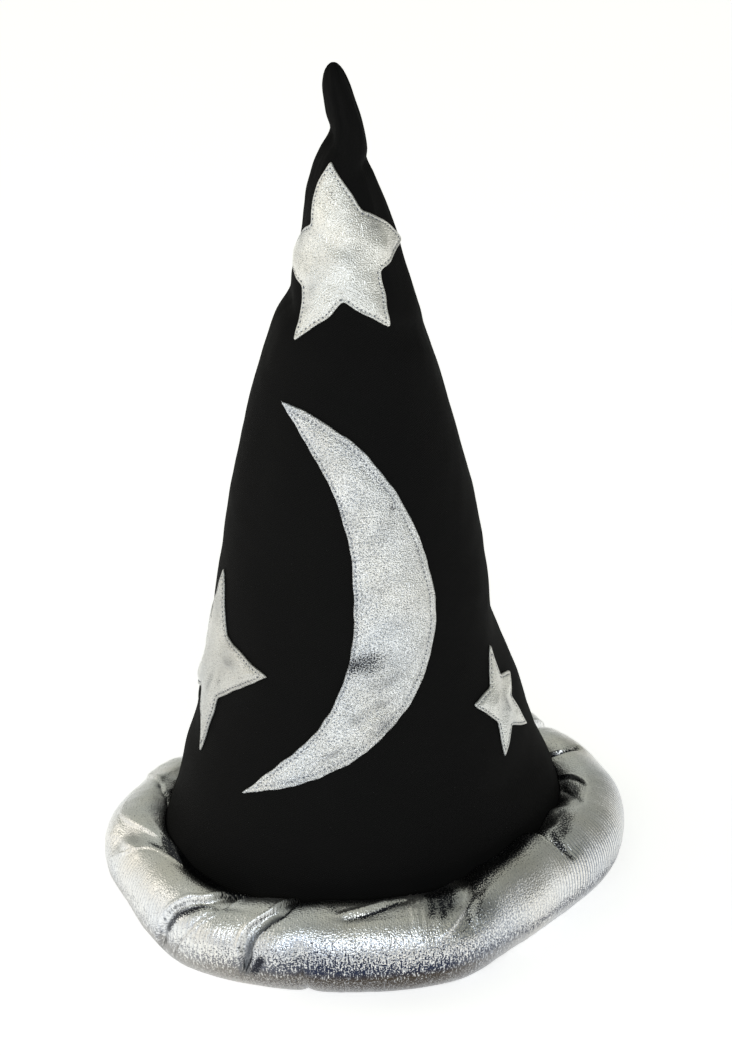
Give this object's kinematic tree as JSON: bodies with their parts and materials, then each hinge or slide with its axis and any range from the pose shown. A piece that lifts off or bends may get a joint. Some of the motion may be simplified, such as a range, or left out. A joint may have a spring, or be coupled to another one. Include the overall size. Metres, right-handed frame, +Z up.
{
  "type": "wizard hat",
  "caption": "Tall cone-shaped costume hat with a kinked peak, a padded silver roll for a brim, and silver stars and a crescent moon sewn on.",
  "frame": {"origin": "on the floor under the middle of the brim roll, which the hat rests on", "axes": "+Z up through the peak, -Y to the front where the moon is, +X to the right as seen from the front"},
  "size_m": [0.2532, 0.2546, 0.395],
  "materials": {
    "black_cotton": "matt black cotton twill with a soft nap",
    "silver_roll": "silver metallic cloth, finely ribbed and glinting, gathered over stuffing",
    "silver_shapes": "silver metallic cloth, lightly padded and stitched round the edge"
  },
  "bodies": {
    "root": {"crown": "black_cotton", "brim_roll": "silver_roll", "crescent_moon": "silver_shapes", "star_upper": "silver_shapes", "star_left": "silver_shapes", "star_right": "silver_shapes"}
  },
  "joints": []
}
